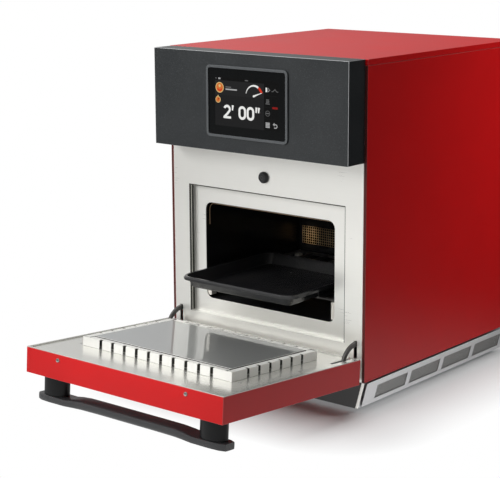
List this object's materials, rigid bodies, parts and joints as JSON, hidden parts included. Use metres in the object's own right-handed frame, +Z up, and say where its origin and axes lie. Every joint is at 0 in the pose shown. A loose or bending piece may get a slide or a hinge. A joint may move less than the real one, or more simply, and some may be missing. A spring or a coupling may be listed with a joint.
{
  "type": "speed oven",
  "caption": "Countertop speed oven with a drop-down door on hinge claws, touch-screen control box, microwave seal, hot-air cavity, wire rack and a sliding baking tray.",
  "frame": {"origin": "centre of the box at the height of the feet's undersides, with the door open as in the picture", "axes": "+Z up, the door and the controls face -Y, +X to the right as seen from the front"},
  "size_m": [0.46, 0.92, 0.641],
  "materials": {
    "red_powder_coat": "satin powder coat",
    "anthracite_coat": "fine satin coat",
    "stainless": "fine brushed, nearly mirror",
    "skirt_grey": "satin",
    "vent_mesh": "woven mesh",
    "black_sheet": "satin black",
    "black_enamel": "glossy black coating",
    "black_plastic": "satin",
    "screen_glass": "gloss black, printed behind",
    "galvanised": "zinc coated",
    "cast_steel": "dark steel",
    "ceramic": "glazed white ceramic",
    "mineral_wool": "fibrous",
    "rubber": "matt",
    "circuit_board": "green board"
  },
  "bodies": {
    "oven": {"side_panel_left": "red_powder_coat", "side_panel_right": "red_powder_coat", "top_cover": "red_powder_coat", "control_fascia": "anthracite_coat", "screen_bezel": "anthracite_coat", "front_frame": "stainless", "skirt_trim": "stainless", "jet_plate": "stainless", "skirt_left": "skirt_grey", "skirt_right": "skirt_grey", "vent_mesh_left": "vent_mesh", "vent_mesh_right": "vent_mesh", "skirt_front": "black_sheet", "cavity_wall_left": "black_enamel", "cavity_wall_right": "black_enamel", "cavity_back": "black_enamel", "cable_gland": "black_plastic", "cooling_fan_frame": "black_plastic", "touch_glass": "screen_glass", "rear_panel": "galvanised", "base_pan": "galvanised", "hot_air_duct": "galvanised", "cavity_floor": "galvanised", "waveguide": "galvanised", "magnetron": "galvanised", "electronics_deck": "galvanised", "hinge_arm_left": "cast_steel", "hinge_arm_right": "cast_steel", "fan_motor": "cast_steel", "heater_element": "cast_steel", "wire_rack": "cast_steel", "stirrer_motor": "cast_steel", "transformer": "cast_steel", "ceramic_floor": "ceramic", "rack_support_left": "ceramic", "rack_support_right": "ceramic", "insulation_wrap": "mineral_wool", "foot_front_left": "rubber", "foot_front_right": "rubber", "foot_rear_left": "rubber", "foot_rear_right": "rubber", "door_buffer": "rubber", "display_board": "circuit_board", "power_board": "circuit_board"},
    "door": {"door_skin": "red_powder_coat", "door_inner_panel": "stainless", "door_insulation": "mineral_wool", "hinge_bracket_left": "galvanised", "hinge_bracket_right": "galvanised", "door_screw_left": "stainless", "door_screw_right": "stainless", "choke_plate": "stainless", "choke_fingers": "stainless", "handle_bar": "black_plastic", "handle_post_left": "black_plastic", "handle_post_right": "black_plastic"},
    "tray": {"baking_tray": "black_enamel"},
    "blower": {"convection_fan": "stainless"},
    "stirrer": {"mode_stirrer": "stainless"},
    "cooler": {"cooling_fan": "black_plastic"}
  },
  "joints": [
    {"name": "door_hinge", "type": "hinge", "parent": "oven", "child": "door", "pos_m": [0, -0.09347, 0.0901], "axis": [-1, 0, 0], "range_deg": [0, 85.84]},
    {"name": "tray_slide", "type": "slide", "parent": "oven", "child": "tray", "axis": [0, 1, 0], "range_m": [0, 0.112]},
    {"name": "blower_spin", "type": "hinge", "parent": "oven", "child": "blower", "pos_m": [0, 0.23883, 0.2392], "axis": [0, 1, 0], "continuous": true},
    {"name": "stirrer_spin", "type": "hinge", "parent": "oven", "child": "stirrer", "pos_m": [0, 0.09083, 0.1572], "axis": [0, 0, 1], "continuous": true},
    {"name": "cooler_spin", "type": "hinge", "parent": "oven", "child": "cooler", "pos_m": [0, 0.38403, 0.0698], "axis": [0, 1, 0], "continuous": true}
  ],
  "couplings": [
    {"joint": "tray_slide", "follows": "door_hinge", "m_per_rad": 0.0747}
  ]
}
